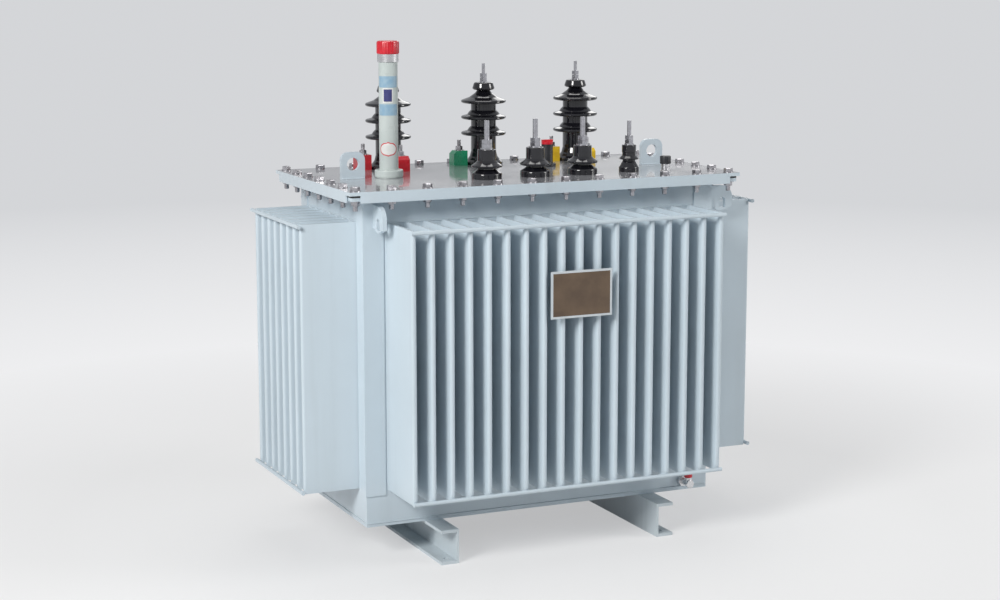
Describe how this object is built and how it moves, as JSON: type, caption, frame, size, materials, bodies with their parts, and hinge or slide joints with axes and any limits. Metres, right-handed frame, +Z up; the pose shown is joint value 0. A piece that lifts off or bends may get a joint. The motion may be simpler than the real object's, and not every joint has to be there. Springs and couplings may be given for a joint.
{
  "type": "oil-immersed distribution transformer",
  "caption": "Oil-filled distribution transformer: sealed tank with corrugated cooling walls on channel skids, with bushings, gauge and lifting lugs on its cover.",
  "frame": {"origin": "ground level, at the centre of the four holes in the skids", "axes": "+Z up, +Y towards the high-voltage side, +X to the right when facing the low-voltage side"},
  "size_m": [1.166, 0.742, 1.165],
  "materials": {
    "tank_paint": "satin pale blue-grey",
    "skid_paint": "satin pale blue-grey",
    "cover_paint": "glossy pale grey",
    "gasket_rubber": "matt",
    "porcelain": "glossy dark brown glaze",
    "terminal_metal": "bright plating",
    "red_clamp_paint": "gloss red",
    "green_clamp_paint": "gloss green",
    "yellow_clamp_paint": "gloss yellow",
    "black_plastic": "matt black",
    "red_plastic": "gloss red",
    "gauge_plastic": "grey-green, satin",
    "bright_metal": "turned and plated",
    "plate_metal": "pale silver",
    "plate_face": "plain brown"
  },
  "bodies": {
    "tank": {"left_skid": "skid_paint", "right_skid": "skid_paint", "base_plate": "tank_paint", "bottom_band": "tank_paint", "front_corrugated_wall": "tank_paint", "rear_corrugated_wall": "tank_paint", "left_corrugated_wall": "tank_paint", "right_corrugated_wall": "tank_paint", "corner_posts": "tank_paint", "fin_rods": "tank_paint", "upper_rim": "tank_paint", "rim_flange": "tank_paint", "cover_gasket": "gasket_rubber", "cover": "cover_paint", "left_cover_lug": "tank_paint", "right_cover_lug": "tank_paint", "front_tank_hooks": "tank_paint", "rear_tank_hooks": "tank_paint", "hv_bushing_c": "porcelain", "hv_bushing_b": "porcelain", "hv_bushing_a": "porcelain", "hv_terminals": "terminal_metal", "red_clamps": "red_clamp_paint", "green_clamps": "green_clamp_paint", "yellow_clamps": "yellow_clamp_paint", "lv_bushing_c": "porcelain", "lv_bushing_b": "porcelain", "lv_bushing_a": "porcelain", "neutral_bushing": "porcelain", "lv_terminals": "terminal_metal", "tap_changer_housing": "black_plastic", "gauge_foot": "gauge_plastic", "gauge_tube": "gauge_plastic", "gauge_ring": "bright_metal", "gauge_cap": "red_plastic", "filler_valve": "bright_metal", "filler_cap": "black_plastic", "drain_valve": "bright_metal", "nameplate_frame": "plate_metal", "nameplate": "plate_face"},
    "tap_knob": {"tap_changer_knob": "red_plastic"},
    "drain_wheel": {"drain_handwheel": "red_plastic"}
  },
  "joints": [
    {"name": "tap_knob_turn", "type": "hinge", "parent": "tank", "child": "tap_knob", "pos_m": [0.136, 0.06, 0.905], "axis": [0, 0, 1], "range_deg": [-60, 60]},
    {"name": "drain_wheel_turn", "type": "hinge", "parent": "tank", "child": "drain_wheel", "pos_m": [0.372, -0.239, 0.118], "axis": [0, 0, 1], "range_deg": [0, 300]}
  ]
}
